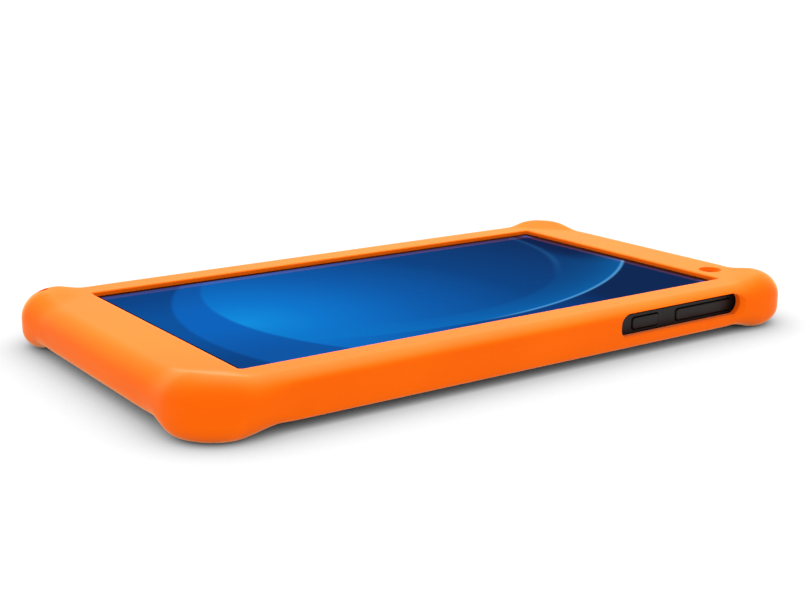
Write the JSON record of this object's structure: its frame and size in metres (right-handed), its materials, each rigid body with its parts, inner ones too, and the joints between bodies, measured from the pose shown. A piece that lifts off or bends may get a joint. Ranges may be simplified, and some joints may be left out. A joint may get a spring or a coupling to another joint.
{
  "type": "children's tablet computer",
  "caption": "Seven-inch children's tablet in a soft orange case with raised corners, with sprung side keys, sockets and its inner parts.",
  "frame": {"origin": "middle of the outer box, on the surface that the four corner feet stand on", "axes": "+X towards the end with the sockets and the front camera, -Y towards the long side with the keys, +Z out of the screen"},
  "size_m": [0.196, 0.1128, 0.015],
  "materials": {
    "orange_silicone": "matt satin silicone rubber",
    "black_glass": "polished glass, black print round the edge",
    "screen_glass": "polarising film over the liquid-crystal cell, lit blue",
    "black_plastic": "fine matt moulded",
    "key_plastic": "satin moulded",
    "clear_acrylic": "clear, polished",
    "black_foam": "open-cell foam",
    "tinned_steel": "tin-plated sheet",
    "board_green": "solder mask on glass-fibre laminate",
    "chip_epoxy": "moulded epoxy",
    "connector_nylon": "natural nylon",
    "amber_film": "polyimide film over copper",
    "pouch_foil": "satin laminate foil",
    "red_lead": "soft insulation",
    "black_lead": "soft insulation"
  },
  "bodies": {
    "tablet": {"antenna_lead": "black_lead", "battery": "pouch_foil", "battery_connector": "connector_nylon", "battery_lead_black": "black_lead", "battery_lead_red": "red_lead", "battery_tape": "black_foam", "board_screw_1": "tinned_steel", "board_screw_2": "tinned_steel", "board_screw_3": "tinned_steel", "board_screw_4": "tinned_steel", "bumper_case": "orange_silicone", "camera_connector": "connector_nylon", "card_socket": "tinned_steel", "front_camera": "black_plastic", "front_frame": "black_plastic", "front_glass": "black_glass", "glass_gasket": "black_foam", "headphone_socket": "black_plastic", "lcd_connector": "connector_nylon", "lcd_flex": "amber_film", "lcd_panel": "screen_glass", "lcd_tray": "tinned_steel", "led_strip": "connector_nylon", "light_guide": "clear_acrylic", "main_board": "board_green", "memory_chip": "chip_epoxy", "microphone": "tinned_steel", "power_chip": "chip_epoxy", "power_switch": "tinned_steel", "processor": "chip_epoxy", "rear_camera": "black_plastic", "rear_camera_lens": "black_glass", "rear_cover": "black_plastic", "speaker": "black_plastic", "speaker_gasket": "black_foam", "speaker_lead_black": "black_lead", "speaker_lead_red": "red_lead", "speaker_mesh": "black_foam", "storage_chip": "chip_epoxy", "touch_connector": "connector_nylon", "touch_flex": "amber_film", "usb_socket": "tinned_steel", "usb_tongue": "black_plastic", "volume_down_switch": "tinned_steel", "volume_up_switch": "tinned_steel", "wifi_antenna": "amber_film", "wifi_module": "tinned_steel"},
    "power_key": {"power_key": "key_plastic"},
    "power_plunger": {"power_plunger": "black_plastic"},
    "volume_key": {"volume_key": "key_plastic"},
    "volume_up_plunger": {"volume_up_plunger": "black_plastic"},
    "volume_down_plunger": {"volume_down_plunger": "black_plastic"}
  },
  "joints": [
    {"name": "power_press", "type": "slide", "parent": "tablet", "child": "power_key", "axis": [0, 1, 0], "range_m": [0, 0.00035], "stiffness_N_per_m": 1000, "springref_m": -0.0012},
    {"name": "power_plunger_push", "type": "slide", "parent": "tablet", "child": "power_plunger", "axis": [0, 1, 0], "range_m": [0, 0.00035]},
    {"name": "volume_rock", "type": "hinge", "parent": "tablet", "child": "volume_key", "pos_m": [0.0637, -0.049, 0.008], "axis": [0, 0, 1], "range_deg": [-1.5, 1.5], "stiffness_Nm_per_rad": 0.38},
    {"name": "volume_up_push", "type": "slide", "parent": "tablet", "child": "volume_up_plunger", "axis": [0, 1, 0], "range_m": [-0.000175, 0.000175]},
    {"name": "volume_down_push", "type": "slide", "parent": "tablet", "child": "volume_down_plunger", "axis": [0, 1, 0], "range_m": [-0.000175, 0.000175]}
  ],
  "couplings": [
    {"joint": "power_plunger_push", "follows": "power_press", "ratio": 1},
    {"joint": "volume_up_push", "follows": "volume_rock", "m_per_rad": -0.0066},
    {"joint": "volume_down_push", "follows": "volume_rock", "m_per_rad": 0.0066}
  ]
}
